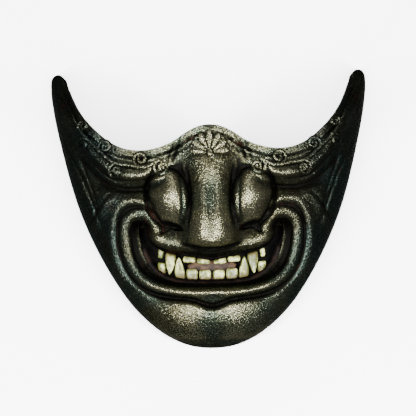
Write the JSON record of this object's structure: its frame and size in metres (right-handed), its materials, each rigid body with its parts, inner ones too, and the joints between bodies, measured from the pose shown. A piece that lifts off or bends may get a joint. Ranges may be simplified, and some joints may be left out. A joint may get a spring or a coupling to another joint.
{
  "type": "samurai face guard",
  "caption": "Fierce half mask for the lower face: a cast shell with a broad nose, cheek wings, an open snarling mouth with teeth, and a strap slot in each side.",
  "frame": {"origin": "under the middle of the outline, on the surface that the mask lies on", "axes": "+X to the wearer's left, +Y up the face from the chin to the wing tips, +Z out of the face and up, as the mask lies on its rear rim"},
  "size_m": [0.197, 0.173, 0.0822],
  "materials": {
    "bronze_black_resin": "cast resin painted bronze-black, rubbed to olive bronze on the ridges",
    "liner_black": "flat black",
    "gum_brown": "dull red-brown paint",
    "tongue_brown": "dull brown paint",
    "tooth_ivory": "aged ivory paint, satin"
  },
  "bodies": {
    "root": {"face_shell": "bronze_black_resin", "mouth_liner": "liner_black", "lower_gum": "gum_brown", "upper_gum": "gum_brown", "tongue": "tongue_brown", "lower_incisor_inner_left": "tooth_ivory", "lower_incisor_inner_right": "tooth_ivory", "lower_incisor_outer_left": "tooth_ivory", "lower_incisor_outer_right": "tooth_ivory", "lower_canine_left": "tooth_ivory", "lower_canine_right": "tooth_ivory", "lower_molar_left": "tooth_ivory", "lower_molar_right": "tooth_ivory", "upper_incisor_inner_left": "tooth_ivory", "upper_incisor_inner_right": "tooth_ivory", "upper_incisor_outer_left": "tooth_ivory", "upper_incisor_outer_right": "tooth_ivory", "upper_canine_left": "tooth_ivory", "upper_canine_right": "tooth_ivory", "upper_molar_left": "tooth_ivory", "upper_molar_right": "tooth_ivory"}
  },
  "joints": []
}
